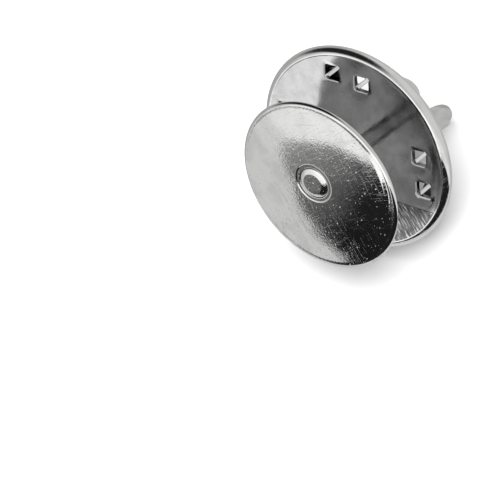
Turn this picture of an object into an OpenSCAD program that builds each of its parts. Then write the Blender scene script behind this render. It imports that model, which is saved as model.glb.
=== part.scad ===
// Pin back: a glue-on round pad with a pointed post, held by a spring clutch with two squeeze wings.
// Each piece is drawn about the clutch's axis, with z towards the wings and z = 0 on the plate's front face.
// lie() then lays the whole thing down as it rests on a table: on its rim, one bridge end and one wing.

/* [Glue pad and post] */
// radius of the glue pad
pad_r = 4.85; // [3:0.05:8]
// thickness of the glue pad
pad_t = 0.32; // [0.2:0.05:1]
// distance from the clutch's plate to the pad's outer face
pad_z = 3.63; // [2:0.1:8]
// how far the pad sits off the post's axis, across the bridge
pad_off_x = 0.305; // [0:0.005:1]
// how far the pad sits off the post's axis, along the bridge
pad_off_y = -0.041; // [-1:0.001:1]
// how far the pad and post lean over, as far as the jaws and the plate's hole let them
post_lean = 2.5; // [0:0.1:3]
// direction that the pad leans towards, from the x axis
post_lean_to = 78.5; // [60:0.5:120]
// radius of the seat that holds the post's head
seat_r = 1.16; // [0.9:0.02:2]
// depth of that seat
seat_depth = 0.2; // [0.1:0.05:0.3]
// radius of the post's head where it sits
head_r = 0.85; // [0.6:0.05:1.1]
// radius of the head's flat outer end
head_top_r = 0.67; // [0.4:0.01:1]
// radius of the post
post_r = 0.45; // [0.3:0.01:0.7]
// height on the axis where the post starts to narrow
point_z = 1.1; // [0.5:0.1:2]
// height of the post's tip
tip_z = 2.35; // [1.5:0.05:2.5]

/* [Toothed plate] */
// outside radius of the rolled rim
rim_r = 5.75; // [4.5:0.05:7]
// thickness of the rolled rim
rim_t = 0.7; // [0.6:0.02:1]
// thickness of the plate's sheet
sheet = 0.22; // [0.15:0.01:0.3]
// inner radius of the edge that is folded over the cap
fold_r = 5.2; // [4.8:0.05:5.4]
// clearance of the post in the plate's hole
hole_gap = 0.08; // [0.02:0.01:0.2]
// angle between the bridge and the band of prongs
band_turn = -78; // [-180:1:180]
// prongs nearest the band's middle, along and across the band
prong_in = [3.38, 2.39]; // [0:0.01:5]
// prongs furthest from the band's middle, along and across the band
prong_out = [2.22, 3.82]; // [0:0.01:5]
// half the diagonal of each pierced hole
pierce = 0.6; // [0.3:0.05:0.8]
// height of each prong
prong_h = 0.5; // [0.2:0.05:1]
// distance of the two stepped edges from the plate's middle
step_at = 3.2; // [2.5:0.05:4]
// depth of the step
step_depth = 0.04; // [0.02:0.01:0.1]

/* [Cap] */
// thickness of the cap's sheet
cap_t = 0.2; // [0.15:0.01:0.3]
// height of the dome at its middle
dome_top = 1.5; // [1.2:0.05:2]
// how much lower the dome is at its shoulder
dome_drop = 0.42; // [0.2:0.02:0.6]
// radius where the shoulder starts
shoulder_r = 4.55; // [4:0.05:5]
// height of the bridge
bridge_top = 2.8; // [2:0.05:3.5]
// rounding radius of the bridge's ridge
ridge_r = 0.6; // [0.4:0.05:0.8]
// half the bridge's width at its foot
bridge_half = 0.84; // [0.6:0.02:1.2]
// distance from the middle where the ridge ends and slopes down
ridge_end = 3.4; // [2.5:0.05:4]
// half the length of each window
window_half = 3.65; // [3:0.05:4]
// distance from the middle to each window's outer edge
window_out = 3.85; // [3:0.05:4.2]
// radius of each window's outer edge
window_arc = 7.08; // [4:0.02:10]
// corner radius of the windows
window_corner = 0.7; // [0.3:0.05:1]

/* [Sprung arms] */
// thickness of the arms' sheet
arm_t = 0.24; // [0.15:0.01:0.3]
// gap below the arms
arm_gap = 0.05; // [0.02:0.01:0.1]
// distance from the bridge's line to each wing's inner face
wing_in = 1.16; // [1:0.01:1.5]
// distance from the bridge's line to each strip's outer edge
strip_out = 2.28; // [1.8:0.02:2.6]
// centre of each strip's rounded end, along the bridge
strip_end = 3; // [2:0.05:3.4]
// clearance between a jaw and the post
jaw_gap = 0.02; // [0.01:0.01:0.1]
// width of each jaw finger
jaw_w = 0.26; // [0.15:0.01:0.5]
// middle of each wing, along the bridge
wing_mid = 0.66; // [0:0.02:1.5]
// half the width of each wing
wing_half = 1.6; // [1:0.05:2]
// height of the wing's tip
wing_top = 5.5; // [3:0.05:7]
// height where the wing starts to flare
flare_z = 3; // [2:0.1:4]
// radius of the flare
flare_r = 4.8; // [2:0.1:10]

/* [How it lies] */
// turn about the clutch's own axis
spin = 114.91; // [-180:0.01:180]
// how far the clutch's axis leans from straight down
lean = 45.11; // [0:0.01:90]
// shift along the lean, so that the middle of the whole is above the origin
shift_x = 0.7551; // [-10:0.0001:10]
// shift across the lean
shift_y = 0; // [-10:0.001:10]
// height of the plate's centre above the table
lift = 4.4229; // [-10:0.0001:10]

/* [Hidden] */
smooth = 96;
over = 1;
hole_r = post_r + hole_gap;
tip_r = 0.06;
rim_half = rim_t / 2;
rim_mid_r = rim_r - rim_half;
fold_end_r = sheet / 2;
edge_round = 0.2;
back_round = 0.06;
head_gap = 0.02;
flange_gap = 0.03;
flange_z = sheet + flange_gap;
flange_r = 5.45;
dome_r = 4.5;
shoulder_round = 0.45;
shoulder_z = dome_z(shoulder_r) - shoulder_round;
arm_z = sheet + arm_gap;
jaw_mid_z = arm_z + arm_t / 2;
ridge_z = bridge_top - ridge_r;
foot_z = 0.9;
dome_end_r = 4.2;
dome_step = 0.6;
foot_out_r = 5.06;
foot_in_r = 4.88;
foot_fillet = 0.1;
flank_turn = 15;
end_turn = 35;
slice = 0.1;
window_lap = 0.04;
inner_corner = 0.45;
wing_side_z = wing_top - wing_half;
wing_reach = 5;
flare_over = 2;
blade_r = 4.55;
blade_from = 200;
blade_to = 236;
blade_neck = [[-2.38, -0.65], [-2.7, -1.25], [-3.1, -1.48]];
blade_back = [[-2.35, -3.4], [-1.1, -2.8], [0.1, -2.65]];
jaw_root = [0.1, -2.02];
jaw_end_y = 0.5;
jaw_start_y = -1.1;
fold_x = -0.7;
prong_thick = 0.22;
prong_tip = 0.12;
prong_lap = 0.05;
step_r = 5.3;
fan_foot = 1.9;
fan_r = 4.95;
fan_low = 0.92;

// points along an arc, from angle a0 to angle a1
function arc(cx, cy, r, a0, a1, n) =
    [for (i = [0:n]) [cx + r * cos(a0 + (a1 - a0) * i / n), cy + r * sin(a0 + (a1 - a0) * i / n)]];

// height of the cap's dome at a distance r from the axis
function dome_z(r) = dome_top - dome_drop * pow(r / dome_r, 2);

// outline of half the bridge's section, drawn inwards by an offset
function bridge_section(off) = concat(
    [[bridge_half - off, foot_z - 3 * off]],
    arc(0, ridge_z, ridge_r - off, flank_turn, 180 - flank_turn, 14),
    [[off - bridge_half, foot_z - 3 * off]]);

module lie() {
    translate([shift_x, shift_y, lift])
        rotate([180, -lean, 0])
            rotate([0, 0, spin])
                children();
}

// the pad and post lean together, about the middle of the jaws
module lean_in_jaws() {
    lie()
        translate([0, 0, jaw_mid_z])
            rotate([0, 0, post_lean_to])
                rotate([0, -post_lean, 0])
                    rotate([0, 0, -post_lean_to])
                        translate([0, 0, -jaw_mid_z])
                            children();
}

module round_pad() {
    lean_in_jaws()
        color([0.8, 0.8, 0.81])
            difference() {
                translate([pad_off_x, pad_off_y, -pad_z])
                    rotate_extrude($fn = smooth)
                        polygon(concat(
                            [[0, 0]],
                            arc(pad_r - edge_round, edge_round, edge_round, -90, 0, 8),
                            arc(pad_r - back_round, pad_t - back_round, back_round, 0, 90, 4),
                            [[0, pad_t]]));
                translate([0, 0, -pad_z - over])
                    cylinder(r = seat_r, h = seat_depth + over, $fn = smooth);
                translate([0, 0, -pad_z - over])
                    cylinder(r = post_r + head_gap, h = pad_t + 2 * over, $fn = smooth);
            }
}

module nail() {
    lean_in_jaws()
        color([0.76, 0.76, 0.77])
            rotate_extrude($fn = smooth)
                polygon([
                    [0, -pad_z],
                    [head_top_r, -pad_z],
                    [head_r, seat_depth - head_gap - pad_z],
                    [post_r, seat_depth - head_gap - pad_z],
                    [post_r, point_z],
                    [2 * tip_r, tip_z - tip_r],
                    [tip_r, tip_z],
                    [0, tip_z]]);
}

// places a child at every prong of the plate, with its x along the band
module at_prongs() {
    for (side = [-1, 1])
        for (flip = [0, 180])
            for (p = [prong_in, prong_out])
                rotate([0, 0, band_turn + flip])
                    translate([p[0], side * p[1], 0])
                        children();
}

module toothed_plate() {
    lie()
        color([0.7, 0.7, 0.71]) {
            difference() {
                rotate_extrude($fn = smooth)
                    polygon(concat(
                        [[hole_r, 0]],
                        arc(rim_mid_r, rim_half, rim_half, -90, 90, 16),
                        arc(fold_r + fold_end_r, rim_t - fold_end_r, fold_end_r, 90, 270, 8),
                        arc(rim_mid_r, rim_half, rim_half - sheet, 90, -90, 8),
                        [[hole_r, sheet]]));
                at_prongs()
                    translate([0, 0, -over])
                        rotate([0, 0, 45])
                            linear_extrude(2 * over)
                                square(pierce * sqrt(2), center = true);
                for (flip = [0, 180])
                    rotate([0, 0, band_turn + flip])
                        intersection() {
                            translate([0, 0, -over])
                                cylinder(r = step_r, h = over + step_depth, $fn = smooth);
                            translate([-rim_r, step_at, -over])
                                cube([2 * rim_r, rim_r, 2 * over]);
                        }
            }
            at_prongs()
                rotate([90, 0, 0])
                    translate([0, 0, -prong_thick / 2])
                        linear_extrude(prong_thick)
                            polygon([
                                [-pierce - prong_lap, sheet],
                                [-pierce - prong_lap, step_depth],
                                [-prong_tip, -prong_h],
                                [prong_tip, -prong_h],
                                [pierce + prong_lap, step_depth],
                                [pierce + prong_lap, sheet]]);
        }
}

// one window's outline on the +x side
module window_shape() {
    arc_x = window_out - window_arc;
    corner_y = window_half - window_corner;
    corner_reach = window_arc - window_corner;
    corner_x = arc_x + sqrt(corner_reach * corner_reach - corner_y * corner_y);
    turn = asin(corner_y / corner_reach);
    inner = bridge_half - window_lap;
    polygon(concat(
        arc(arc_x, 0, window_arc, -turn, turn, 16),
        arc(corner_x, corner_y, window_corner, turn, 90, 6),
        arc(inner + inner_corner, window_half - inner_corner, inner_corner, 90, 180, 6),
        arc(inner + inner_corner, inner_corner - window_half, inner_corner, 180, 270, 6),
        arc(corner_x, -corner_y, window_corner, -90, -turn, 6)));
}

// the bridge's widening end on the +y side
module bridge_end(off) {
    hull() {
        translate([0, ridge_end, 0])
            rotate([90, 0, 0])
                linear_extrude(slice)
                    polygon(bridge_section(off));
        intersection() {
            translate([0, 0, fan_low - off - slice])
                cylinder(r = fan_r - off, h = slice, $fn = 64);
            translate([off - fan_foot, ridge_end, 0])
                cube([2 * (fan_foot - off), fan_foot, bridge_top]);
        }
    }
}

// the bridge as a solid, drawn inwards by an offset so that the same shape also hollows it
module bridge_body(off) {
    intersection() {
        rotate([90, 0, 0])
            translate([0, 0, -rim_r])
                linear_extrude(2 * rim_r)
                    polygon(bridge_section(off));
        rotate_extrude($fn = smooth)
            polygon(concat(
                [[0, 0], [fan_r - off, 0], [fan_r - off, fan_low - off]],
                arc(ridge_end, ridge_z, ridge_r - off, end_turn, 90, 6),
                [[0, bridge_top - off]]));
    }
    bridge_end(off);
    mirror([0, 1, 0])
        bridge_end(off);
}

module windowed_cap() {
    lie()
        color([0.78, 0.78, 0.79])
            difference() {
                union() {
                    difference() {
                        rotate_extrude($fn = smooth)
                            polygon(concat(
                                [[flange_r, flange_z], [flange_r, flange_z + cap_t]],
                                [[foot_out_r + foot_fillet, flange_z + cap_t]],
                                [[foot_out_r, flange_z + cap_t + foot_fillet / 2]],
                                arc(shoulder_r, shoulder_z, shoulder_round, 0, 85, 8),
                                [for (r = [dome_end_r:-dome_step:0]) [r, dome_z(r)]],
                                [for (r = [0:dome_step:dome_end_r]) [r, dome_z(r) - cap_t]],
                                arc(shoulder_r, shoulder_z, shoulder_round - cap_t, 85, 0, 8),
                                [[foot_in_r, flange_z + 1.4 * foot_fillet]],
                                [[foot_in_r + foot_fillet, flange_z + 0.2 * foot_fillet]],
                                [[foot_in_r + 2.2 * foot_fillet, flange_z]]));
                        for (turn = [0, 180])
                            rotate([0, 0, turn])
                                linear_extrude(bridge_top)
                                    window_shape();
                    }
                    bridge_body(0);
                }
                bridge_body(cap_t);
            }
}

// flat outline of one arm, with its wing's fold on the side nearest the bridge
module arm_outline() {
    strip_mid = (wing_in + strip_out) / 2;
    strip_half = (strip_out - wing_in) / 2;
    jaw_near = post_r + jaw_gap;
    jaw_far = jaw_near + jaw_w;
    polygon(concat(
        arc(-strip_mid, strip_end, strip_half, 0, 180, 16),
        [[-strip_out, 0]],
        blade_neck,
        arc(0, 0, blade_r, blade_from, blade_to, 10),
        blade_back,
        arc(jaw_root[0], jaw_root[1], jaw_far - jaw_root[0], -75, 0, 6),
        arc(jaw_far - jaw_w / 2, jaw_end_y, jaw_w / 2, 0, 180, 8),
        arc(0, jaw_start_y, jaw_near, 0, -90, 6),
        arc(fold_x, jaw_start_y, wing_in + fold_x, -90, -180, 4)));
}

// one arm as it lies on the -x side
module arm_body() {
    flare = asin((wing_top - flare_z) / flare_r);
    outer_x = wing_in + arm_t;
    translate([0, 0, arm_z])
        linear_extrude(arm_t)
            arm_outline();
    intersection() {
        translate([0, wing_mid + wing_half, 0])
            rotate([90, 0, 0])
                linear_extrude(2 * wing_half)
                    polygon(concat(
                        [[-outer_x, arm_z], [-wing_in, arm_z]],
                        arc(-outer_x - flare_r, flare_z, flare_r + arm_t, 0, flare + flare_over, 12),
                        arc(-outer_x - flare_r, flare_z, flare_r, flare + flare_over, 0, 12)));
        translate([-wing_reach, wing_mid, 0])
            rotate([0, 90, 0])
                rotate([0, 0, 90])
                    linear_extrude(wing_reach)
                        union() {
                            translate([-wing_half, 0])
                                square([2 * wing_half, wing_side_z]);
                            translate([0, wing_side_z])
                                circle(r = wing_half, $fn = smooth);
                        }
    }
}

module left_arm() {
    lie()
        color([0.74, 0.74, 0.75])
            arm_body();
}

module right_arm() {
    lie()
        color([0.74, 0.74, 0.75])
            rotate([0, 0, 180])
                arm_body();
}

round_pad();  // pad
nail();  // post
toothed_plate();  // base_plate
windowed_cap();  // cap
left_arm();  // arm_left
right_arm();  // arm_right
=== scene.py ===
import math

import bpy
import bmesh
import numpy as np
from mathutils import Matrix, Vector
from mathutils.geometry import delaunay_2d_cdt


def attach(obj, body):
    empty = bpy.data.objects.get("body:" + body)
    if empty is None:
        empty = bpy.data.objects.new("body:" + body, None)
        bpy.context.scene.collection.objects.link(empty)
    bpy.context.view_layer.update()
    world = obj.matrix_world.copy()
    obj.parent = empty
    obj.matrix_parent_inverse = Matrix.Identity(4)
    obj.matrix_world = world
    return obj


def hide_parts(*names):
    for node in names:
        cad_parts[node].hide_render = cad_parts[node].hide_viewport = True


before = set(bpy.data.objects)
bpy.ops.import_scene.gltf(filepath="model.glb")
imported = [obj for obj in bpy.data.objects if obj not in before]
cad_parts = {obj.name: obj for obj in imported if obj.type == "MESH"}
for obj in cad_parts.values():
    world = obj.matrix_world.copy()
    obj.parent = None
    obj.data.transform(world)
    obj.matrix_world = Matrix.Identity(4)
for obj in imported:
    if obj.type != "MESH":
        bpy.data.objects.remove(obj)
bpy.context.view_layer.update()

# Sizes are in millimetres in the clutch's own frame: x across the bridge, y along it, z towards
# the wings, with z = 0 on the plate's front face. The glue pad is on the -z side. PLACE lays that
# frame down as the part rests on the floor, in metres.
METRE = 1000.0
SPIN, LEAN = 114.91, 45.11
SHIFT = (0.7551, 0.0, 4.4229)
PLACE = (Matrix.Scale(1 / METRE, 4) @ Matrix.Translation(SHIFT)
         @ Matrix.Rotation(math.radians(-LEAN), 4, "Y")
         @ Matrix.Rotation(math.pi, 4, "X") @ Matrix.Rotation(math.radians(SPIN), 4, "Z"))

# glue pad and post
PAD_R, PAD_T, PAD_Z, PAD_CROWN = 4.85, 0.32, 3.63, 0.12
PAD_OFF = np.array((0.305, -0.041))
SEAT_R, SEAT_DEPTH = 1.16, 0.2
POST_R, POINT_Z, TIP_Z = 0.45, 1.1, 2.35
# they lean over together in the jaws, about the middle of the jaws' height
POST_LEAN, POST_LEAN_TO, JAW_MID_Z = math.radians(2.5), math.radians(78.5), 0.39
TACK_PLACE = (PLACE @ Matrix.Translation((0, 0, JAW_MID_Z))
              @ Matrix.Rotation(POST_LEAN_TO, 4, "Z") @ Matrix.Rotation(-POST_LEAN, 4, "Y")
              @ Matrix.Rotation(-POST_LEAN_TO, 4, "Z")
              @ Matrix.Translation((0, 0, -JAW_MID_Z)))

# toothed plate: the rim's radius and thickness, the sheet, where the folded edge ends, the hole,
# the prongs as distances along and across their band, and the two stepped segments
RIM_R, RIM_T, SHEET, FOLD_R, HOLE_R = 5.75, 0.7, 0.22, 5.2, 0.53
BAND_TURN = math.radians(-78)
PRONG_IN, PRONG_OUT = (3.38, 2.39), (2.22, 3.82)
PIERCE, PRONG_H, PRONG_T = 0.6, 0.5, 0.22
STEP_AT, STEP_DEPTH, RECESS = 3.2, 0.04, 0.004

# cap
CAP_T, DOME_TOP, DOME_DROP = 0.2, 1.5, 0.42
BRIDGE_TOP, RIDGE_R, RIDGE_END = 2.8, 0.6, 3.4
WINDOW_HALF, WINDOW_OUT, WINDOW_ARC, WINDOW_CORNER, WINDOW_IN = 3.65, 3.85, 7.08, 0.7, 0.8

# sprung arms
ARM_T, ARM_Z = 0.24, 0.27
WING_IN, STRIP_OUT, STRIP_END = 1.16, 2.28, 3.0
WING_MID, WING_HALF, WING_TOP, FLARE_Z, FLARE_R = 0.66, 1.6, 5.5, 3.0, 4.8

# a piece's material slots: its outer face, its other side (on the plate its rim; on the pad,
# the cap and the arms a darker metal that is painted shade), and the cut edges of its holes
OUTER, OTHER, CUT = 0, 1, 2


# ---------------------------------------------------------------- mesh building
class Build:
    """Collects points in the clutch's frame and faces, and makes one mesh object of them."""

    def __init__(self):
        self.points = []
        self.faces = []
        self.skin = OUTER
        self.skins = []

    def ring(self, pts):
        """Adds points and gives their numbers."""
        start = len(self.points)
        self.points.extend(tuple(map(float, p)) for p in pts)
        return list(range(start, len(self.points)))

    def add(self, face):
        """Adds a face in the present skin, which is a material slot."""
        self.faces.append(face)
        self.skins.append(self.skin)

    def bands(self, rings):
        """Joins closed rings of equal count, each a list of 3D points, with quads."""
        ids = [self.ring(r) for r in rings]
        n = len(ids[0])
        for a, b in zip(ids, ids[1:]):
            for i in range(n):
                j = (i + 1) % n
                self.add((a[i], a[j], b[j], b[i]))
        return ids

    def cap_fan(self, ids, centre):
        """Closes a ring with triangles to a middle point."""
        c = self.ring([centre])[0]
        for i in range(len(ids)):
            self.add((ids[i], ids[(i + 1) % len(ids)], c))

    def surface(self, loops, inner, lift):
        """A sheet over the area inside loops[0] and outside the others, with inner as its other
        points; lift(x, y) gives its 3D points."""
        flat = []
        edges = []
        for loop in loops:
            s = len(flat)
            flat.extend(map(tuple, loop))
            edges.extend((s + i, s + (i + 1) % len(loop)) for i in range(len(loop)))
        flat.extend(map(tuple, inner))
        same_point = 1e-7
        out = delaunay_2d_cdt([Vector(p) for p in flat], edges, [], 0, same_point, True)
        xy = np.array([tuple(v) for v in out[0]])
        tris = np.array([f for f in out[2] if len(f) == 3])
        mid = xy[tris].mean(1)
        keep = inside(mid, loops[0])
        for hole in loops[1:]:
            keep &= ~inside(mid, hole)
        ids = self.ring(lift(xy[:, 0], xy[:, 1]))
        for t in tris[keep]:
            self.add(tuple(ids[k] for k in t))

    def make(self, name, angle, place=PLACE, merge=2e-4):
        """Makes the object, smooth but for edges sharper than angle, in degrees. The mesh keeps
        each point's place in the clutch's frame as "local", for the materials."""
        bm = bmesh.new()
        for p in self.points:
            bm.verts.new(p)
        bm.verts.ensure_lookup_table()
        for f, skin in zip(self.faces, self.skins):
            if len(set(f)) == len(f):
                bm.faces.new([bm.verts[i] for i in f]).material_index = skin
        bmesh.ops.remove_doubles(bm, verts=bm.verts, dist=merge)
        loose = [v for v in bm.verts if not v.link_faces]
        bmesh.ops.delete(bm, geom=loose, context="VERTS")
        bmesh.ops.recalc_face_normals(bm, faces=bm.faces)
        limit = math.radians(angle)
        for f in bm.faces:
            f.smooth = True
        for e in bm.edges:
            if len(e.link_faces) != 2 or e.calc_face_angle(0.0) > limit:
                e.smooth = False
        mesh = bpy.data.meshes.new(name)
        bm.to_mesh(mesh)
        bm.free()
        co = np.zeros(len(mesh.vertices) * 3, np.float32)
        mesh.vertices.foreach_get("co", co)
        local = mesh.attributes.new("local", "FLOAT_VECTOR", "POINT")
        local.data.foreach_set("vector", co)
        mesh.transform(place)
        mesh.update()
        obj = bpy.data.objects.new(name, mesh)
        bpy.context.scene.collection.objects.link(obj)
        return obj


def inside(p, loop):
    """Tells which points lie inside a closed line."""
    loop = np.asarray(loop, float)
    a, b = loop, np.roll(loop, -1, axis=0)
    hit = np.zeros(len(p), bool)
    for (x1, y1), (x2, y2) in zip(a, b):
        if y1 == y2:
            continue
        cross = (y1 > p[:, 1]) != (y2 > p[:, 1])
        hit ^= cross & (p[:, 0] < (x2 - x1) * (p[:, 1] - y1) / (y2 - y1) + x1)
    return hit


def circle(r, n, centre=(0.0, 0.0)):
    a = np.arange(n) * 2 * math.pi / n
    return np.c_[centre[0] + r * np.cos(a), centre[1] + r * np.sin(a)]


def at_height(pts, z):
    """Lifts flat points to z, one height for all or one for each."""
    return np.c_[pts, np.full(len(pts), z)]


def arc(cx, cy, r, a0, a1, n):
    """Points on an arc of n steps from a0 to a1, in degrees."""
    a = np.radians(np.linspace(a0, a1, n + 1))
    return [(cx + r * math.cos(t), cy + r * math.sin(t)) for t in a]


def square_grid(xs, ys):
    gx, gy = np.meshgrid(xs, ys)
    return np.c_[gx.ravel(), gy.ravel()]


def lathe(b, profile, n):
    """Turns an open line of (r, z) points about the axis; points on the axis close it."""
    on_axis = 1e-6
    ids = b.bands([at_height(circle(r, n), z) for r, z in profile if r > on_axis])
    for end in (0, -1):
        if profile[end][0] <= on_axis:
            b.cap_fan(ids[end], (0.0, 0.0, profile[end][1]))


def rings_between(r0, r1, gap, centre=(0.0, 0.0)):
    """Points on rings that fill the band between two radii."""
    pts = []
    count = max(1, int(round((r1 - r0) / gap)))
    for k in range(1, count):
        r = r0 + (r1 - r0) * k / count
        pts.append(circle(r, max(8, int(round(2 * math.pi * r / gap))), centre))
    return np.vstack(pts) if pts else np.zeros((0, 2))


def clear_of(pts, loops, gap):
    """Drops the points that lie too near a loop's points."""
    keep = np.ones(len(pts), bool)
    batch = 4000
    for loop in loops:
        loop = np.asarray(loop)
        for i in range(0, len(pts), batch):
            d = np.linalg.norm(pts[i:i + batch, None] - loop[None], axis=2).min(1)
            keep[i:i + batch] &= d > gap
    return pts[keep]


def resample(loop, gap):
    """Points at even spacing along a closed line, with its corners kept."""
    loop = np.asarray(loop, float)
    out = []
    for a, b in zip(loop, np.roll(loop, -1, axis=0)):
        n = max(1, int(round(np.linalg.norm(b - a) / gap)))
        for k in range(n):
            out.append(a + (b - a) * k / n)
    return np.array(out)


def rounded(loop, radius, steps):
    """Rounds the corners of a closed outline of a few points."""
    loop = [np.asarray(p, float) for p in loop]
    out = []
    for i, p in enumerate(loop):
        a, c = loop[i - 1], loop[(i + 1) % len(loop)]
        u, v = a - p, c - p
        lu, lv = np.linalg.norm(u), np.linalg.norm(v)
        d = min(radius, 0.45 * lu, 0.45 * lv)
        s, e = p + u / lu * d, p + v / lv * d
        for k in range(steps + 1):
            t = k / steps
            out.append((1 - t) ** 2 * s + 2 * t * (1 - t) * p + t ** 2 * e)
    return np.array(out)


def inset(loop, d):
    """Moves a closed outline inwards by d, or outwards for a negative d."""
    loop = np.asarray(loop, float)
    x, y = loop[:, 0], loop[:, 1]
    area = 0.5 * np.sum(x * np.roll(y, -1) - np.roll(x, -1) * y)
    t = np.roll(loop, -1, axis=0) - np.roll(loop, 1, axis=0)
    t /= np.linalg.norm(t, axis=1)[:, None] + 1e-12
    normal = np.c_[-t[:, 1], t[:, 0]] * (1 if area > 0 else -1)
    return loop + normal * d


def smooth(x, a, b):
    """A smooth step from 0 at a to 1 at b."""
    t = np.clip((x - a) / (b - a), 0, 1)
    return t * t * (3 - 2 * t)


def sheet(b, outer, holes, inner, top, bottom, edge):
    """A sheet of metal with its cut edges rounded: top(x, y) and bottom(x, y) give the points of
    its faces. The bottom face gets the other skin."""
    cut = [np.asarray(outer)] + [np.asarray(h) for h in holes]
    face = [inset(cut[0], edge)] + [inset(h, -edge) for h in cut[1:]]
    b.surface(face, inner, top)
    b.skin = OTHER
    b.surface(face, inner, bottom)
    b.skin = OUTER
    part = 0.3
    for c, f in zip(cut, face):
        middle = c * (1 - part) + f * part
        t0, m0, c0 = (np.array(top(k[:, 0], k[:, 1])) for k in (f, middle, c))
        t1, m1, c1 = (np.array(bottom(k[:, 0], k[:, 1])) for k in (f, middle, c))
        down_edge = edge * (c1 - c0) / (np.linalg.norm(c1 - c0, axis=1)[:, None])
        b.bands([t0, m0 + part * down_edge, c0 + down_edge,
                 c1 - down_edge, m1 - part * down_edge, t1])


def band_axes(turn):
    """Unit directions along the band of prongs and across it."""
    c, s = math.cos(turn), math.sin(turn)
    return np.array((c, s)), np.array((-s, c))


ALONG, ACROSS = band_axes(BAND_TURN)


def in_band(x, y):
    """Distances along the band and across it."""
    return x * ALONG[0] + y * ALONG[1], x * ACROSS[0] + y * ACROSS[1]


# ---------------------------------------------------------------- pad and post
PAD_STEPS, SEAT_STEPS, SEAT_LIP_R = 320, 128, SEAT_R - 0.03
# the crowned face ends at PAD_LIP_R, where a flatter lip starts, and the lip at PAD_FLAT_R, where
# the edge starts to turn down; the back's flat ends at PAD_BACK_R
PAD_LIP_R, PAD_LIP_FALL, PAD_FLAT_R, PAD_BACK_R = 4.5, 0.022, 4.66, 4.7
PAD_LOW_WAVE, PAD_SMALL_WAVE, PAD_WAVES_FADE = 0.0012, 0.0007, (4.6, 3.6)
# how far the face lies inside the CAD's flat one
PAD_SET_BACK = 0.01
# the pressed stretch of the edge, from its one end to its other in radians from the band, with
# the middle of its slope, which comes in towards the pad's middle, the slope's reach to both
# sides, and its depth
PRESS_START, PRESS_END = (-0.05, 0.3), (1.05, 0.45)
PRESS_R, PRESS_COMES_IN, PRESS_UNTIL = 4.60, 0.36, 0.9
PRESS_REACH_IN, PRESS_REACH_OUT, PRESS_DEPTH = 0.17, 0.15, 0.03
# the seat's bevel and shallow ring as radius and depth below its lip, then the radii of its wall,
# its floor and the hole in it
SEAT_RINGS = ((1.12, 0.003), (1.105, 0.010), (1.09, 0.0165), (1.078, 0.0195), (1.07, 0.020),
              (1.05, 0.020), (0.93, 0.020), (0.91, 0.020), (0.90, 0.022), (0.89, 0.03),
              (0.883, 0.05))
SEAT_WALL_R, SEAT_FLOOR_R, PAD_HOLE_R, SEAT_FILLET = 0.88, 0.87, 0.47, 0.02
# the pad's edge as radius and depth below the flat's edge, and its back corner as radius and
# height above the back
PAD_EDGE = ((PAD_FLAT_R, 0.0), (4.70, 0.006), (4.74, 0.020), (4.775, 0.042), (4.80, 0.070),
            (4.82, 0.105), (4.83, 0.14))
PAD_BACK_EDGE = ((4.83, 0.05), (4.81, 0.015), (4.78, 0.0), (PAD_BACK_R, 0.0))


def pad_front(x, y):
    """The pad's outer face: slightly crowned, with a flatter lip, and pressed down along one side
    of its edge."""
    dx, dy = x - PAD_OFF[0], y - PAD_OFF[1]
    r = np.hypot(dx, dy)
    crown = (PAD_CROWN * (np.minimum(r, PAD_LIP_R) / PAD_R) ** 2
             + PAD_LIP_FALL * np.clip(r - PAD_LIP_R, 0, 1))
    wave = (PAD_LOW_WAVE * np.sin(1.1 * dx + 0.7) * np.cos(0.9 * dy - 0.4)
            + PAD_SMALL_WAVE * np.sin(2.3 * dy + 1.7 * dx))
    a, m = in_band(dx, dy)
    turn = np.arctan2(m, a)
    pressed = smooth(turn, *PRESS_START) * smooth(turn, *PRESS_END)
    middle = PRESS_R - PRESS_COMES_IN * np.clip(turn, 0.0, PRESS_UNTIL)
    slope = smooth(r, middle - PRESS_REACH_IN, middle + PRESS_REACH_OUT)
    press = PRESS_DEPTH * pressed * slope
    return -PAD_Z + PAD_SET_BACK + crown + press + wave * smooth(r, *PAD_WAVES_FADE)


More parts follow.
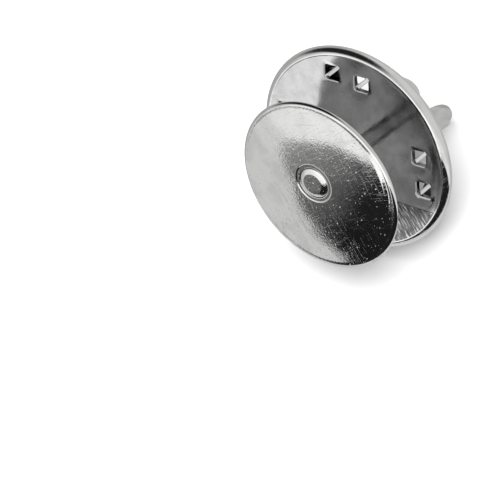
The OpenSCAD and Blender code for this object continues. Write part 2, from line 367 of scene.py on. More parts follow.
def make_pad():
    b = Build()
    outer = circle(PAD_FLAT_R, PAD_STEPS, PAD_OFF)
    seat = circle(SEAT_LIP_R, SEAT_STEPS)
    # the face's points: even rings, with closer ones by the seat's lip and by the edge
    fine_r = 4.22
    inner = rings_between(1.1, fine_r, 0.13, PAD_OFF)
    by_lip = [circle(SEAT_LIP_R + gap, SEAT_STEPS) for gap in (0.012, 0.035, 0.07)]
    by_edge = [circle(r, PAD_STEPS, PAD_OFF) for r in np.linspace(fine_r, 4.63, 12)]
    inner = inner[np.hypot(inner[:, 0], inner[:, 1]) > SEAT_LIP_R + 0.12]
    inner = np.vstack([inner] + by_lip + by_edge)
    b.surface([outer, seat], inner, lambda x, y: np.c_[x, y, pad_front(x, y)])
    # the seat: a narrow bevel, a shallow ring round the head, then the wall beside the head, its
    # floor and the hole
    lip = pad_front(seat[:, 0], seat[:, 1])
    floor_z = -PAD_Z + SEAT_DEPTH
    back_z = PAD_T - PAD_Z
    rings = [at_height(seat, lip)]
    rings += [at_height(circle(r, SEAT_STEPS), lip + drop) for r, drop in SEAT_RINGS]
    rings += [at_height(circle(r, SEAT_STEPS), z) for r, z in (
        (SEAT_WALL_R, floor_z - SEAT_FILLET), (SEAT_FLOOR_R, floor_z),
        (PAD_HOLE_R, floor_z), (PAD_HOLE_R, back_z))]
    b.bands(rings)
    # the back, in the other skin, whose darker nickel is painted shade
    b.skin = OTHER
    back, hole = circle(PAD_BACK_R, PAD_STEPS, PAD_OFF), circle(PAD_HOLE_R, SEAT_STEPS)
    b.surface([back, hole],
              clear_of(rings_between(0.6, PAD_BACK_R, 0.5, PAD_OFF), [back, hole], 0.2),
              lambda x, y: np.c_[x, y, np.full_like(x, back_z)])
    b.skin = OUTER
    flat_z = pad_front(*outer.T)
    edge = [at_height(circle(r, PAD_STEPS, PAD_OFF), flat_z + drop) for r, drop in PAD_EDGE]
    edge += [at_height(circle(r, PAD_STEPS, PAD_OFF), back_z - rise) for r, rise in PAD_BACK_EDGE]
    b.bands(edge)
    return b.make("glue_pad", angle=42, place=TACK_PLACE)


# the slope round the head's flat middle: radius, how much of HEAD_ASIDE it lies off the axis, and
# depth below the flat. The middle lies aside, so the slope is wide on one side and narrow on the
# other.
HEAD_ASIDE = 0.12
HEAD_SLOPE = ((0.40, 0.6, 0.0), (0.56, 1.0, 0.0), (0.59, 1.0, 0.0008), (0.63, 0.93, 0.004),
              (0.68, 0.75, 0.009), (0.73, 0.5, 0.0145), (0.78, 0.2, 0.021),
              (0.805, 0.05, 0.026), (0.82, 0.0, 0.032))
# the head's edge as radius and depth below the flat, its back as radius and depth below the plane
# of the back, which lies HEAD_GAP off the seat's floor, and the point as radius and z
HEAD_EDGE = ((0.82, 0.032), (0.838, 0.045), (0.85, 0.07))
HEAD_BACK = ((0.852, -0.02), (0.84, 0.0), (0.455, 0.0), (POST_R, 0.01))
HEAD_SET_BACK, HEAD_GAP = 0.008, 0.02
POINT = ((0.44, POINT_Z + 0.05), (0.42, POINT_Z + 0.13), (0.15, TIP_Z - 0.16),
         (0.10, TIP_Z - 0.05), (0.05, TIP_Z - 0.01), (0, TIP_Z))


def make_post():
    """The nail: a low convex head with a flat middle, the shank and the point."""
    b = Build()
    top = -PAD_Z + HEAD_SET_BACK
    back_z = -PAD_Z + SEAT_DEPTH - HEAD_GAP
    aside = -ALONG * HEAD_ASIDE
    ids = b.bands([at_height(circle(r, SEAT_STEPS, aside * part), top + drop)
                   for r, part, drop in HEAD_SLOPE])
    b.cap_fan(ids[0], (0.0, 0.0, top))
    profile = [(r, top + drop) for r, drop in HEAD_EDGE]
    profile += [(r, back_z + drop) for r, drop in HEAD_BACK]
    profile += [(POST_R, z) for z in np.linspace(back_z + 0.5, POINT_Z - 0.05, 6)]
    lathe(b, profile + list(POINT), SEAT_STEPS)
    return b.make("nail_post", angle=40, place=TACK_PLACE)


# ---------------------------------------------------------------- toothed plate
PLATE_STEPS, HOLE_STEPS = 288, 96
# the pierced holes' corners, and half the thickness of the rim's folded edge
PIERCE_CORNER, FOLD_HALF = 0.12, SHEET / 2
# the burr that stands round each pierced hole: its least height, what its outer side adds, where
# that side is, and its width
BURR_LOW, BURR_MORE, BURR_TURN, BURR_WIDTH = 0.008, 0.04, 0.3, 0.06
PLATE_WAVE, PLATE_WAVE_FADES = 0.0015, (5.1, 4.0)
# the lean of the two outer segments per mm, with where each starts and is whole across the band
LEAN_ALONG, LEAN_ALONG_FROM, LEAN_ALONG_FADES = 0.02, (2.0, 3.3), (5.22, 4.95)
LEAN_OUT, LEAN_OUT_FROM = 0.01, (2.35, 3.05)


def prong_places():
    """Each pierced hole's middle, its directions along and across the band, and its side."""
    for flip in (0.0, math.pi):
        along, across = band_axes(BAND_TURN + flip)
        for side in (-1, 1):
            for p in (PRONG_IN, PRONG_OUT):
                yield along * p[0] + across * side * p[1], along, across, side


def plate_front(x, y):
    """Front face: almost flat and mirror smooth, level with the rim's bead, with a burr round
    each pierced hole. The segments beyond the steps lean a little, one along the band and the
    other towards the rim."""
    r = np.hypot(x, y)
    a, m = in_band(x, y)
    wave = PLATE_WAVE * np.sin(0.9 * x + 0.5) * np.sin(0.8 * y - 0.3)
    z = RECESS + wave * smooth(r, *PLATE_WAVE_FADES)
    z = (z + LEAN_ALONG * (1.0 - a) * smooth(m, *LEAN_ALONG_FROM) * smooth(r, *LEAN_ALONG_FADES)
         - LEAN_OUT * (FOLD_R - r) * smooth(-m, *LEAN_OUT_FROM))
    for c, u, v, side in prong_places():
        a = (x - c[0]) * u[0] + (y - c[1]) * u[1]
        w = (x - c[0]) * v[0] + (y - c[1]) * v[1]
        d = np.clip((np.abs(a) + np.abs(w) - PIERCE) / math.sqrt(2), 0, None)
        turn = np.arctan2(w * side, a)
        high = BURR_LOW + BURR_MORE * (0.5 - 0.5 * np.cos(turn - BURR_TURN))
        z = z - high * np.exp(-(d / BURR_WIDTH) ** 2)
    return z


def plate_back(x, y):
    """The plate's back, where a step makes the two outer segments thinner."""
    m = np.abs(in_band(x, y)[1])
    return SHEET - (STEP_DEPTH * smooth(m, STEP_AT - 0.02, STEP_AT + 0.02)
                    * smooth(np.hypot(x, y), 5.15, 5.05))


def make_plate():
    b = Build()
    half = RIM_T / 2
    mid = RIM_R - half
    # the front face meets the rim's bead at the angle start, where both are equally deep
    start = -math.degrees(math.acos(1 - RECESS / half))
    flat_r = mid + half * math.sin(math.radians(start))
    outer = circle(flat_r, PLATE_STEPS)
    hole = circle(HOLE_R, HOLE_STEPS)
    diamonds = []
    for c, u, v, side in prong_places():
        pts = [c + u * PIERCE, c + v * PIERCE, c - u * PIERCE, c - v * PIERCE]
        diamonds.append(resample(rounded(pts, PIERCE_CORNER, 3), 0.05))
    # the face's points: even rings, with closer ones round each pierced hole
    extra = np.vstack([inset(loop, -d)[::2] for loop in diamonds for d in (0.05, 0.1, 0.16, 0.24)])
    extra = clear_of(extra, diamonds, 0.03)
    inner = rings_between(0.7, flat_r, 0.14)
    inner = clear_of(inner, diamonds + [outer, hole, extra], 0.07)
    inner = inner[np.hypot(inner[:, 0], inner[:, 1]) > HOLE_R + 0.08]
    pts = np.vstack([inner, extra])
    keep = np.hypot(pts[:, 0], pts[:, 1]) < flat_r - 0.03
    for loop in diamonds:
        keep &= ~inside(pts, inset(loop, -0.02))
    b.surface([outer, hole] + diamonds, pts[keep], lambda x, y: np.c_[x, y, plate_front(x, y)])
    # the back's points: even rings, and rows of points along the steps
    back = circle(FOLD_R, PLATE_STEPS)
    t = np.arange(-4.2, 4.21, 0.1)
    lines = np.vstack([t[:, None] * ALONG + side * (STEP_AT + off) * ACROSS
                       for side in (-1, 1) for off in (-0.04, -0.02, 0.02, 0.04)])
    lines = clear_of(lines[np.hypot(lines[:, 0], lines[:, 1]) < 5.0], diamonds, 0.03)
    fill = clear_of(rings_between(0.8, 5.15, 0.3), [back, hole] + diamonds + [lines], 0.12)
    b.surface([back, hole] + diamonds, np.vstack([fill, lines]),
              lambda x, y: np.c_[x, y, plate_back(x, y)])
    b.skin = CUT
    for loop in [hole] + diamonds:
        x, y = loop[:, 0], loop[:, 1]
        b.bands([at_height(loop, plate_front(x, y)), at_height(loop, plate_back(x, y))])
    # the rim, from the front face round its bead to the folded edge, and back along its inside
    b.skin = OTHER
    profile = arc(mid, half, half, start - 90, 90, 24)
    profile += arc(FOLD_R + FOLD_HALF, RIM_T - FOLD_HALF, FOLD_HALF, 90, 270, 8)
    profile += arc(mid, half, half - SHEET, 90, -90, 8) + [(FOLD_R, SHEET)]
    lathe(b, profile, PLATE_STEPS)
    return b.make("toothed_plate", angle=38)


# a prong's half width, the z of its foot and of the start of its slopes, where its blunt point
# starts and ends across it, the rounding of its corners, how far it bends outwards per mm, and
# the layers of its faces as inset and depth
PRONG_HALF, PRONG_FOOT, PRONG_SLOPE = PIERCE + 0.03, 0.16, 0.02
PRONG_POINT, PRONG_CORNER, PRONG_BEND = (-0.10, 0.14), 0.05, 0.03
PRONG_LAYERS = ((0.035, 0.0), (0.01, 0.012), (0.0, 0.04))


def make_prongs():
    """The eight upright tongues, each a thin pointed blade across its pierced hole."""
    b = Build()
    shape = [(-PRONG_HALF, PRONG_FOOT), (PRONG_HALF, PRONG_FOOT), (PRONG_HALF, PRONG_SLOPE),
             (PRONG_POINT[1], -PRONG_H), (PRONG_POINT[0], -PRONG_H), (-PRONG_HALF, PRONG_SLOPE)]
    outline = rounded(shape, PRONG_CORNER, 3)
    layers = [(off, deep - PRONG_T / 2) for off, deep in PRONG_LAYERS]
    layers += [(off, -w) for off, w in reversed(layers)]
    for c, u, v, side in prong_places():
        rings = []
        for off, w in layers:
            line = inset(outline, off)
            bend = PRONG_BEND * np.clip(-line[:, 1], 0, 1) * side
            x, y = (c[k] + u[k] * line[:, 0] + v[k] * (w + bend) for k in (0, 1))
            rings.append(np.c_[x, y, line[:, 1]])
        ids = b.bands(rings)
        for k in (0, -1):
            b.cap_fan(ids[k], rings[k].mean(0))
    return b.make("plate_prongs", angle=40)


# ---------------------------------------------------------------- cap
CAP_OUT, CAP_STEPS, CAP_RING_STEPS = 5.45, 256, 240
# where the ridge's straight slope starts, as an angle on its rounding, and its foot
RIDGE_FALL = math.radians(35)
RIDGE_FOOT_Z, RIDGE_FOOT_Y = 0.86, 5.0
# the shoulder: where the dome ends, its width down to the flange, the powers that shape its
# bend, and the flange's height
DOME_R, DOME_UNTIL, SHOULDER_WIDTH, SHOULDER_END = 4.5, 4.62, 0.58, 5.08
SHOULDER_OUT, SHOULDER_IN, FLANGE_Z = 2.6, 0.8, 0.45
# the bridge's half width, what it gains towards its ends and where, and how square its section
# is; it sinks into the shoulder over BRIDGE_SINKS
BRIDGE_WIDTH, BRIDGE_FAN, FAN_FROM, FAN_TO, FAN_POWER = 0.60, 1.15, 2.5, 4.9, 1.3
BRIDGE_POWER, BRIDGE_SINKS = 3.2, (5.06, 4.7)
# the pressed hollows beside the bridge's ends: depth, middle and size
HOLLOW_DEPTH, HOLLOW_AT, HOLLOW_SIZE = 0.16, (2.0, 3.95), (0.55, 0.32)
# the windows' corners by the bridge, and how far and where their inner edges lean away from it
WINDOW_IN_CORNER, WINDOW_LEAN, WINDOW_LEAN_FROM = 0.45, 0.18, (2.2, 3.4)
# the rounding of its cut edges, and rings of points close enough to carry the shoulder's bend
CAP_EDGE = 0.035
SHOULDER_RINGS = (4.4, 4.48, 4.55, 4.62, 4.68, 4.74, 4.79, 4.84, 4.88, 4.92, 4.96, 5.0, 5.03,
                  5.06, 5.09, 5.15, 5.3)


def ridge_z(y):
    """Height of the bridge's ridge at a distance along it."""
    a = np.abs(y)
    cz = BRIDGE_TOP - RIDGE_R
    bend = RIDGE_END + RIDGE_R * math.cos(RIDGE_FALL)
    low = cz + RIDGE_R * math.sin(RIDGE_FALL)
    arc_z = cz + np.sqrt(np.clip(RIDGE_R ** 2 - np.clip(a - RIDGE_END, 0, RIDGE_R) ** 2, 0.01, 1))
    slope = (low - RIDGE_FOOT_Z) / (RIDGE_FOOT_Y - bend)
    return np.where(a < bend, arc_z, low - (a - bend) * slope)


def cap_top(x, y):
    """Height of the cap's outer face: the dome, its shoulder and flange, and the bridge, which
    fans out at both ends."""
    r = np.hypot(x, y)
    dome = DOME_TOP - DOME_DROP * (np.minimum(r, DOME_UNTIL) / DOME_R) ** 2
    edge = 1 - np.clip((r - DOME_R) / SHOULDER_WIDTH, 0, 1) ** SHOULDER_OUT
    shoulder = np.where(r < DOME_R, 1.0, np.clip(edge, 0, 1) ** SHOULDER_IN)
    base = FLANGE_Z + (dome - FLANGE_Z) * shoulder
    base = np.where(r > SHOULDER_END, FLANGE_Z, base)
    fan = smooth(np.abs(y), FAN_FROM, FAN_TO)
    width = BRIDGE_WIDTH + BRIDGE_FAN * fan ** FAN_POWER
    bump = np.exp(-(np.abs(x) / width) ** (BRIDGE_POWER - fan))
    rise = np.clip(ridge_z(y) - base, 0, None) * smooth(r, *BRIDGE_SINKS)
    hollow = HOLLOW_DEPTH * np.exp(-((np.abs(x) - HOLLOW_AT[0]) / HOLLOW_SIZE[0]) ** 2
                                   - ((np.abs(y) - HOLLOW_AT[1]) / HOLLOW_SIZE[1]) ** 2)
    return base + rise * bump - hollow


def window_loop(side):
    """Outline of a D-shaped window, with its arc outside and its straight side by the bridge."""
    arc_x = WINDOW_OUT - WINDOW_ARC
    corner_y = WINDOW_HALF - WINDOW_CORNER
    reach = WINDOW_ARC - WINDOW_CORNER
    corner_x = arc_x + math.sqrt(reach ** 2 - corner_y ** 2)
    turn = math.degrees(math.asin(corner_y / reach))
    c = WINDOW_IN_CORNER
    pts = arc(arc_x, 0, WINDOW_ARC, -turn, turn, 60)
    pts += arc(corner_x, corner_y, WINDOW_CORNER, turn, 90, 8)[1:]
    pts += [(corner_x - k * (corner_x - WINDOW_IN - c) / 10, WINDOW_HALF) for k in range(1, 10)]
    pts += arc(WINDOW_IN + c, WINDOW_HALF - c, c, 90, 180, 8)
    pts += [(WINDOW_IN, (WINDOW_HALF - c) * (1 - k / 32)) for k in range(1, 64)]
    pts += arc(WINDOW_IN + c, c - WINDOW_HALF, c, 180, 270, 8)
    pts += [(WINDOW_IN + c + k * (corner_x - WINDOW_IN - c) / 10, -WINDOW_HALF)
            for k in range(1, 10)]
    pts += arc(corner_x, -corner_y, WINDOW_CORNER, -90, -turn, 8)[:-1]
    pts = np.array(pts)
    # the inner edge leans away from the bridge towards the ends, where the bridge fans out
    near = pts[:, 0] < 1.6
    pts[near, 0] += WINDOW_LEAN * smooth(np.abs(pts[near, 1]), *WINDOW_LEAN_FROM)
    return pts if side > 0 else -pts


def make_cap():
    b = Build()
    outer = circle(CAP_OUT, CAP_STEPS)
    windows = [window_loop(1), window_loop(-1)]
    pitch = np.arange(-4.35, 4.36, 0.085)
    grid = square_grid(pitch, pitch)
    grid = grid[np.hypot(grid[:, 0], grid[:, 1]) < 4.34]
    inner = np.vstack([circle(r, CAP_RING_STEPS) for r in SHOULDER_RINGS] + [grid])
    keep = np.ones(len(inner), bool)
    for w in windows:
        keep &= ~inside(inner, inset(w, -0.08))
    inner = clear_of(inner[keep], windows + [outer], 0.08)
    sheet(b, outer, windows, inner,
          lambda x, y: np.c_[x, y, cap_top(x, y)],
          lambda x, y: np.c_[x, y, cap_top(x, y) - CAP_T], CAP_EDGE)
    return b.make("windowed_cap", angle=50)


# ---------------------------------------------------------------- arms
# the jaw's gap to the post and its width, and the rounding of the cut edges of blade and wing
JAW_GAP, JAW_WIDTH = 0.02, 0.26
BLADE_EDGE, WING_EDGE = 0.035, 0.04
# the blade's arc inside the rim, and the plain points of the outline before and after it
BLADE_R, BLADE_TURN = 4.55, (200, 236)
STRIP_TO_BLADE = [(-STRIP_OUT, 1.5), (-STRIP_OUT, -0.05), (-2.38, -0.65), (-2.7, -1.25),
                  (-3.1, -1.48)]
BLADE_TO_JAW = [(-2.35, -3.4), (-1.1, -2.8), (0.1, -2.65)]
# a shallow dent in the wide blade: depth, middle and size squared
DISH_DEPTH, DISH_AT, DISH_SIZE2 = 0.018, (-3.0, -2.3), 1.2


def arm_outline():
    """The flat part of an arm: the strip with its round end, the wide blade inside the rim, and
    the jaw finger that hooks round the post."""
    mid = (WING_IN + STRIP_OUT) / 2
    half = (STRIP_OUT - WING_IN) / 2
    near = POST_R + JAW_GAP
    far = near + JAW_WIDTH
    tip = JAW_WIDTH / 2
    pts = arc(-mid, STRIP_END, half, 0, 180, 16)
    pts += STRIP_TO_BLADE + arc(0, 0, BLADE_R, *BLADE_TURN, 10) + BLADE_TO_JAW
    pts += arc(0.1, -2.02, far - 0.1, -75, 0, 6)
    pts += arc(far - tip, 0.5, tip, 0, 180, 8)
    pts += arc(0, -1.1, near, 0, -90, 6)
    pts += arc(-0.7, -1.1, WING_IN - 0.7, -90, -180, 4)
    return np.array(pts)


def wing_outline():
    """A wing laid flat: distance along the bridge, and height along the sheet. It has straight
    sides and a round top."""
    flare = math.asin((WING_TOP - FLARE_Z) / FLARE_R)
    top = FLARE_Z + FLARE_R * flare
    side = top - WING_HALF * 1.06
    foot = ARM_Z + 0.04
    low, high = WING_MID - WING_HALF, WING_MID + WING_HALF
    loop = [(y, foot) for y in np.linspace(low, high, 33)]
    loop += [(high, s) for s in np.linspace(foot, side, 30)[1:]]
    loop += [(WING_MID + WING_HALF * math.cos(t), side + (top - side) * math.sin(t))
             for t in np.radians(np.linspace(0, 180, 49))[1:]]
    loop += [(low, s) for s in np.linspace(side, foot, 30)[1:-1]]
    grid = square_grid(np.arange(low, high, 0.12), np.arange(foot, top, 0.12))
    return np.array(loop), grid


def bent(depth):
    """Bends the flat wing up from the strip's inner edge, and flares it outwards."""
    def lift(y, s):
        turn = np.clip(s - FLARE_Z, 0, None) / FLARE_R
        radius = FLARE_R + depth
        x = -(WING_IN + ARM_T) - FLARE_R + radius * np.cos(turn)
        z = np.where(s > FLARE_Z, FLARE_Z + radius * np.sin(turn), s)
        return np.c_[x, y, z]
    return lift


def make_arm(name, flip):
    b = Build()
    # the outline's sharp corners are rounded off by relaxing the resampled line a little
    line = resample(arm_outline(), 0.07)
    for _ in range(3):
        line = 0.5 * line + 0.25 * (np.roll(line, 1, axis=0) + np.roll(line, -1, axis=0))
    pitch = np.arange(-4.6, 4.6, 0.25)
    grid = square_grid(pitch, pitch)
    grid = clear_of(grid[inside(grid, inset(line, 0.05))], [line], 0.1)

    def dish(x, y):
        away = (x - DISH_AT[0]) ** 2 + (y - DISH_AT[1]) ** 2
        return -DISH_DEPTH * np.exp(-away / DISH_SIZE2)

    sheet(b, line, [], grid,
          lambda x, y: np.c_[x, y, ARM_Z + ARM_T + dish(x, y)],
          lambda x, y: np.c_[x, y, ARM_Z + 0 * x], BLADE_EDGE)
    flat_count = len(b.skins)
    loop, grid = wing_outline()
    grid = clear_of(grid[inside(grid, inset(loop, 0.05))], [loop], 0.08)
    sheet(b, loop, [], grid, bent(0.0), bent(ARM_T), WING_EDGE)
    # both faces of the wing show, so neither gets the painted shade of the other side
    b.skins[flat_count:] = [OUTER] * (len(b.skins) - flat_count)
    if flip:
        b.points = [(-x, -y, z) for x, y, z in b.points]
    return b.make(name, angle=40)


# ---------------------------------------------------------------- materials
class Nodes:
    """Short forms for the nodes that the materials and the world are made of."""

    def __init__(self, tree):
        self.tree = tree
        tree.nodes.clear()

    def new(self, kind, **settings):
        node = self.tree.nodes.new(kind)
        for key, value in settings.items():
            setattr(node, key, value)
        return node

    def put(self, socket, value):
        if isinstance(value, bpy.types.NodeSocket):
            self.tree.links.new(value, socket)
        else:
            socket.default_value = value

    def calc(self, operation, a, b=0.0):
        node = self.new("ShaderNodeMath", operation=operation)
        self.put(node.inputs[0], a)
        self.put(node.inputs[1], b)
        return node.outputs[0]

    def ramp(self, x, a, b, lo=0.0, hi=1.0, kind="SMOOTHSTEP"):
        """Goes from lo to hi as x goes from a to b."""
        node = self.new("ShaderNodeMapRange", interpolation_type=kind)
        for key, value in (("Value", x), ("From Min", a), ("From Max", b),
                           ("To Min", lo), ("To Max", hi)):
            self.put(node.inputs[key], value)
        return node.outputs["Result"]

    def dot(self, vector, direction):
        node = self.new("ShaderNodeVectorMath", operation="DOT_PRODUCT")
        self.put(node.inputs[0], vector)
        node.inputs[1].default_value = direction
        return node.outputs["Value"]

    def noise(self, vector, scale, detail=2.0, rough=0.55, turn=0.0, stretch=None):
        """Noise, where stretch is given in streaks of that size, turned in the plate's plane."""
        if stretch:
            mapping = self.new("ShaderNodeMapping", vector_type="TEXTURE")
            mapping.inputs["Rotation"].default_value = (0.0, 0.0, turn)
            mapping.inputs["Scale"].default_value = stretch
            self.put(mapping.inputs["Vector"], vector)
            vector = mapping.outputs["Vector"]
        node = self.new("ShaderNodeTexNoise")
        for key, value in (("Vector", vector), ("Scale", scale), ("Detail", detail),
                           ("Roughness", rough)):
            self.put(node.inputs[key], value)
        return node.outputs["Fac"]

    def patches(self, vector, scale, detail, a, b, lo=0.0, hi=1.0):
        """Goes from lo to hi where noise goes from a to b."""
        return self.ramp(self.noise(vector, scale, detail), a, b, lo, hi)

    def cells(self, vector, scale):
        """Distance to the nearest of scattered points."""
        node = self.new("ShaderNodeTexVoronoi")
        self.put(node.inputs["Vector"], vector)
        node.inputs["Scale"].default_value = scale
        return node.outputs["Distance"]


# The relief of plated metal, in millimetres. SWELL and PEEL: noise per mm and its height. PITS:
# pits per mm, the part of a cell that each takes, and its depth. SCRATCHES: turn, and the noise
# level that they start from. HATCH, on the plate's brushed segment: turn, height, width and
# length of the streaks, with the noise levels that their tone goes between; that dark streaked
# tone is partly the brushing's own grain and partly painted dark reflection. The patches of
# uneven tone, gloss and pits: noise per mm, its detail, and the levels that they go between.
SWELL = (0.6, 0.001)
PEEL = ((5.0, 0.0005), (9.5, 0.0007))
PITS = ((2.4, 0.13, 0.0020), (5.0, 0.17, 0.0009))
SCRATCHES = ((0.5, 0.64), (-0.9, 0.66), (1.9, 0.65))
SCRATCH_DEPTH, SCRATCH_SIZE = 0.0016, (1.6, 0.035, 1.0)
HATCH = ((0.05, 0.075, 0.11, 1.6), (0.35, 0.045, 0.15, 0.9))
HATCH_GRAIN_AND_SHADE, HATCH_ROUGH = (0.40, 0.58), 0.06
# where the brushed segment's border lies, as distances across the band
HATCH_BORDER = (STEP_AT + 0.15, STEP_AT + 0.22)
TONE_PATCHES, GLOSS_PATCHES = (0.9, 5, 0.40, 0.64), (1.7, 4, 0.35, 0.66)
PIT_PATCHES = (1.1, 3.0, 0.40, 0.60)


def metal(name, light, dark, rough, peel=1.0, pits=1.0, scratches=1.0, brushed=False):
    """Nickel plate: uneven tone and roughness, orange peel, pits and scratches. Brushed, it also
    gets streaks of darker tone, partly the grain and partly painted dark reflection.
    """
    m = bpy.data.materials.new(name)
    m.use_nodes = True
    n = Nodes(m.node_tree)
    out = n.new("ShaderNodeOutputMaterial")
    bsdf = n.new("ShaderNodeBsdfPrincipled")
    bsdf.inputs["Metallic"].default_value = 1.0
    n.put(out.inputs[0], bsdf.outputs[0])
    at = n.new("ShaderNodeAttribute", attribute_name="local").outputs["Vector"]
    tone = n.new("ShaderNodeMix", data_type="RGBA")
    tone.inputs[6].default_value = (*light, 1)
    tone.inputs[7].default_value = (*dark, 1)
    patches_and_shade = n.patches(at, *TONE_PATCHES)
    n.put(bsdf.inputs["Base Color"], tone.outputs[2])
    gloss = n.patches(at, *GLOSS_PATCHES, *rough)
    heights = [(n.noise(at, SWELL[0], 1.0), SWELL[1])]
    heights += [(n.noise(at, scale, 1.0, 0.5), high * peel) for scale, high in PEEL]
    patch = n.patches(at, *PIT_PATCHES, 0.2, 1.0)
    for scale, radius, high in PITS:
        dent = n.ramp(n.cells(at, scale), 0.3 * radius, radius, -1.0, 0.0)
        heights.append((n.calc("MULTIPLY", dent, patch), high * pits))
    for turn, where in SCRATCHES:
        streak = n.noise(at, 1.0, 2.0, 0.5, turn, SCRATCH_SIZE)
        heights.append((n.ramp(streak, where, where + 0.06), -SCRATCH_DEPTH * scratches))
    if brushed:
        lengthways, side = (n.dot(at, (*axis, 0.0)) for axis in (ALONG, ACROSS))
        # the brushed segment's border runs across the band's one half and slants on the other
        side = n.calc("SUBTRACT", side, n.calc("MAXIMUM", lengthways, 0.0))
        where = n.ramp(side, *HATCH_BORDER)
        # here the random patches fade, and the streaks below turn the tone dark: partly the
        # brushing's grain, partly painted dark reflection
        patches_and_shade = n.calc("MULTIPLY", patches_and_shade, 0.2)
        for turn, high, across, length in HATCH:
            streak = n.noise(at, 1.0, 1.0, 0.5, BAND_TURN + turn, (across, length, 1.0))
            heights.append((n.calc("MULTIPLY", streak, where), high))
            streak_grain_and_shade = n.calc("MULTIPLY", n.ramp(streak, *HATCH_GRAIN_AND_SHADE), where)
            patches_and_shade = n.calc("MAXIMUM", patches_and_shade, streak_grain_and_shade)
        gloss = n.calc("ADD", gloss, n.ramp(where, 0.0, 1.0, 0.0, HATCH_ROUGH))
    n.put(tone.inputs[0], patches_and_shade)
    n.put(bsdf.inputs["Roughness"], gloss)
    total = 0.0
    for height, amount in heights:
        total = n.calc("ADD", n.calc("MULTIPLY", height, amount), total)
    bump = n.new("ShaderNodeBump")
    bump.inputs["Strength"].default_value = 1.0
    bump.inputs["Distance"].default_value = 0.001
    n.put(bump.inputs["Height"], total)
    n.put(bsdf.inputs["Normal"], bump.outputs["Normal"])
    return m


def warm(tone):
    """A grey with the faint warmth of nickel."""
    return (tone, tone - 0.005, tone - 0.01)


def grey(tone):
    return (tone, tone, tone)


NICKEL_PAD = metal("nickel_pad", warm(0.77), warm(0.68), (0.03, 0.05),
                   peel=1.1, pits=1.7, scratches=0.12)
# the pad's back, which faces the plate: a darker copy of the pad's nickel, painted shade
PAD_BACK = metal("pad_back_painted_shade", grey(0.40), grey(0.34), (0.10, 0.18), peel=0.3)
# the plate's dark tone goes only into the brushed segment's streaks: partly the brushing's grain,
# partly painted dark reflection
NICKEL_PLATE = metal("nickel_plate", grey(0.70), grey(0.22), (0.10, 0.15),
                     peel=0.2, pits=0.3, scratches=0.15, brushed=True)
NICKEL_CAP = metal("nickel_cap", warm(0.80), warm(0.74), (0.06, 0.11),
                   peel=0.3, pits=0.3, scratches=0.5)
NICKEL_ARM = metal("nickel_arm", warm(0.62), warm(0.55), (0.08, 0.15), peel=0.5, pits=0.4)
# the prongs, cut from the plate's own nickel but made far brighter than it: a painted highlight
TOOTH_HIGHLIGHT = metal("tooth_painted_highlight", grey(0.92), grey(0.84), (0.10, 0.20),
              peel=0.5, pits=0.3, scratches=0.3)
CUT_EDGE = metal("cut_edge", grey(0.34), grey(0.24), (0.22, 0.34))
# the hidden undersides of the cap and the arms: a near-black copy of the nickel, painted shade
# where little light falls
PAINTED_SHADE_INSIDE = metal("painted_shade_inside", grey(0.10), grey(0.05), (0.35, 0.5))

# ---------------------------------------------------------------- pieces
pad = make_pad()
post = make_post()
plate = make_plate()
prongs = make_prongs()
cap = make_cap()
arm_left = make_arm("sprung_arm_left", False)
arm_right = make_arm("sprung_arm_right", True)

for obj, mats, body, nodes, slot in (
        (pad, (NICKEL_PAD, PAD_BACK), "tack", ("pad",), "pad_metal"),
        (post, (NICKEL_PAD,), "tack", ("post",), "pad_metal"),
        (plate, (NICKEL_PLATE, NICKEL_CAP, CUT_EDGE), "clutch", ("base_plate",), "clutch_metal"),
        (prongs, (TOOTH_HIGHLIGHT,), "clutch", (), "clutch_metal"),
        (cap, (NICKEL_CAP, PAINTED_SHADE_INSIDE), "clutch", ("cap",), "clutch_metal"),
        (arm_left, (NICKEL_ARM, PAINTED_SHADE_INSIDE), "wing_left", ("arm_left",), "spring_metal"),
        (arm_right, (NICKEL_ARM, PAINTED_SHADE_INSIDE), "wing_right", ("arm_right",), "spring_metal")):
    for mat in mats:
        obj.data.materials.append(mat)
    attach(obj, body)
    if nodes:
        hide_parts(*nodes)

# ---------------------------------------------------------------- camera, as in the photograph
# the photograph's side and scale, and the pixel where the middle of the plate's front face shows
PHOTO_SIDE, PX_PER_MM = 500, 19.46
PLATE_PX = (354.8, 149.4)
# the direction in the plate's plane that the camera leans towards, how far it leans from the
# plate's normal, and the cosine and sine of the picture's turn about the line of sight
PHOTO_SPIN, PHOTO_LEAN = math.radians(78), math.radians(47.4)
PICTURE_TURN = (0.787, 0.617)
CAMERA_DISTANCE, SENSOR, CLIP_NEAR, CLIP_FAR = 0.45, 36, 0.01, 5

normal = Vector((0, 0, 1))
up_in_plane = Vector((math.cos(PHOTO_SPIN), -math.sin(PHOTO_SPIN), 0))
level = Vector((math.sin(PHOTO_SPIN), math.cos(PHOTO_SPIN), 0))
to_camera = -math.cos(PHOTO_LEAN) * normal + math.sin(PHOTO_LEAN) * up_in_plane
steep = math.sin(PHOTO_LEAN) * normal + math.cos(PHOTO_LEAN) * up_in_plane
right = PICTURE_TURN[0] * steep + PICTURE_TURN[1] * level
up = PICTURE_TURN[1] * steep - PICTURE_TURN[0] * level
lay_down = PLACE.to_3x3() * METRE
to_camera, right, up = lay_down @ to_camera, lay_down @ right, lay_down @ up
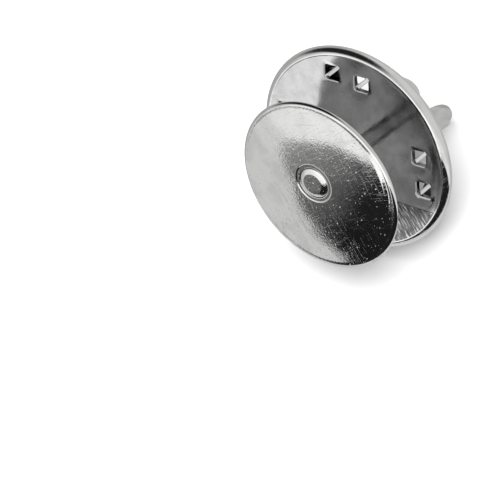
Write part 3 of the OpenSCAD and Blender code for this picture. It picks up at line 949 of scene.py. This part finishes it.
# the point of the plate's plane that lies at the middle of the picture
centre = (PLACE @ Vector((0, 0, 0))
          + right * ((PHOTO_SIDE / 2 - PLATE_PX[0]) / PX_PER_MM / METRE)
          + up * ((PLATE_PX[1] - PHOTO_SIDE / 2) / PX_PER_MM / METRE))
camera_data = bpy.data.cameras.new("camera")
camera_data.sensor_width = SENSOR
camera_data.lens = SENSOR * CAMERA_DISTANCE / (PHOTO_SIDE / PX_PER_MM / METRE)
camera_data.clip_start = CLIP_NEAR
camera_data.clip_end = CLIP_FAR
camera = bpy.data.objects.new("camera", camera_data)
bpy.context.scene.collection.objects.link(camera)
aimed = Matrix((right, up, to_camera)).transposed().to_4x4()
aimed.translation = centre + to_camera * CAMERA_DISTANCE
camera.matrix_world = aimed
bpy.context.scene.camera = camera

# ---------------------------------------------------------------- floor and overhead light
FLOOR_R, FLOOR_STEPS, FLOOR_TONE = 0.4, 128, 0.82
LIGHT_SIZE, LIGHT_POWER, LIGHT_DISTANCE, LIGHT_AIM = 0.15, 0.42, 0.15, (0, 0, 0.004)
# how far the light stands to the right and up in the picture, next to 1 towards the camera
LIGHT_RIGHT, LIGHT_UP = -0.25, 0.35
floor_mesh = bpy.data.meshes.new("floor")
floor_mesh.from_pydata([(x, y, 0) for x, y in circle(FLOOR_R, FLOOR_STEPS)], [],
                       [tuple(range(FLOOR_STEPS))])
floor = bpy.data.objects.new("floor", floor_mesh)
bpy.context.scene.collection.objects.link(floor)
floor_material = bpy.data.materials.new("pale_floor")
floor_material.use_nodes = True
floor_shader = floor_material.node_tree.nodes["Principled BSDF"]
floor_shader.inputs["Base Color"].default_value = (*grey(FLOOR_TONE), 1)
floor_shader.inputs["Roughness"].default_value = 0.9
floor_shader.inputs["Specular IOR Level"].default_value = 0.1
floor.data.materials.append(floor_material)
# the photograph's metal mirrors no floor
floor.visible_glossy = False

key_data = bpy.data.lights.new("overhead", "AREA")
key_data.shape = "DISK"
key_data.size = LIGHT_SIZE
key_data.energy = LIGHT_POWER
key = bpy.data.objects.new("overhead", key_data)
bpy.context.scene.collection.objects.link(key)
aim = Vector(LIGHT_AIM)
from_aim = (right * LIGHT_RIGHT + up * LIGHT_UP + to_camera).normalized()
key.location = aim + from_aim * LIGHT_DISTANCE
key.visible_glossy = False
key.rotation_euler = (aim - key.location).to_track_quat("-Z", "Y").to_euler()

# ---------------------------------------------------------------- studio around the object
# The light is given in the photograph's own frame: x to its right, y up, z to its camera. The
# metal mirrors it, and the camera sees a plain white backdrop.
# Parts of a bright tent, each as where it starts and ends and its light at both: down the
# picture, across it, towards the lower left, and along z.
BOTTOM, RIGHT_SIDE = (0.30, 0.56, 0.76, 1.15), (-0.5, 0.0, 0.0, 0.90)
LOWER_LEFT, LOWER_LEFT_GLOW = (-0.70, -0.56, 0.44), (0.80, 0.97, 0.0, 0.6)
BEHIND = (-0.19, -0.14, 0.78, 1.0)
# the dark patch at the upper left: its direction, where it starts and ends, and how dark it is
UPPER_LEFT, UPPER_LEFT_DARK = (-0.762, 0.555, 0.332), (0.66, 0.90, 0.0, 0.97)
# borders of the dark side, each as a point of the line in down and z, and its slope
UPPER_BORDER = ((0.5915, -0.157, 2.6), (0.616, -0.097, 1.1), (0.715, 0.10, 6.0))
LOWER_BORDER, LOWEST = (0.592, -0.163, -1.05), -0.202
# how dark it is from where down to where, and how soft the two borders are
DARK_FROM, DARK_TO = (0.586, 0.56), (0.655, 0.985)
UPPER_SOFT, LOWER_SOFT = (-0.013, 0.005), (-0.006, 0.008)

world = bpy.data.worlds.new("studio")
bpy.context.scene.world = world
world.use_nodes = True
n = Nodes(world.node_tree)
toward = n.new("ShaderNodeTexCoord").outputs["Generated"]
px, py, pz = n.dot(toward, right), n.dot(toward, up), n.dot(toward, to_camera)


def photo_dot(x, y, z):
    """How near the direction is to one that is given in the photograph's frame."""
    return n.dot(toward, right * x + up * y + to_camera * z)


def line(x, at_x, at_y, slope):
    """A straight line's height over x, through the point at_x, at_y."""
    return n.calc("ADD", n.calc("MULTIPLY", x, slope), at_y - slope * at_x)


def darken(light, amount):
    return n.calc("MULTIPLY", light, n.calc("SUBTRACT", 1.0, amount))


# a bright tent: grey at the left, bright at the bottom, brightest at the lower left
down = n.calc("MULTIPLY", py, -1.0)
light = n.ramp(down, *BOTTOM)
light = n.calc("MAXIMUM", light, n.ramp(px, *RIGHT_SIDE))
light = n.calc("ADD", light, n.ramp(photo_dot(*LOWER_LEFT), *LOWER_LEFT_GLOW))
light = n.calc("MULTIPLY", light, n.ramp(pz, *BEHIND))
# its dark side: a wedge that opens towards the bottom of the photograph
first, second, third = (line(down, *border) for border in UPPER_BORDER)
high = n.calc("MAXIMUM", n.calc("MINIMUM", first, second), third)
low = n.calc("MAXIMUM", line(down, *LOWER_BORDER), LOWEST)
dark = n.calc("MULTIPLY", n.ramp(n.calc("SUBTRACT", high, pz), *UPPER_SOFT),
              n.ramp(n.calc("SUBTRACT", pz, low), *LOWER_SOFT))
dark = n.calc("MULTIPLY", dark,
              n.ramp(down, DARK_FROM[0], DARK_TO[0], DARK_FROM[1], DARK_TO[1], "LINEAR"))
light = darken(light, dark)
# and a dark patch at the upper left
light = darken(light, n.ramp(photo_dot(*UPPER_LEFT), *UPPER_LEFT_DARK))
# what the camera itself sees is plain white
plain = n.new("ShaderNodeLightPath").outputs["Is Camera Ray"]
background = n.new("ShaderNodeBackground")
n.put(background.inputs["Strength"], n.calc("ADD", darken(light, plain), plain))
n.put(n.new("ShaderNodeOutputWorld").inputs[0], background.outputs[0])

scene = bpy.context.scene
scene.view_settings.view_transform = "Standard"
scene.view_settings.look = "None"

bpy.context.view_layer.update()
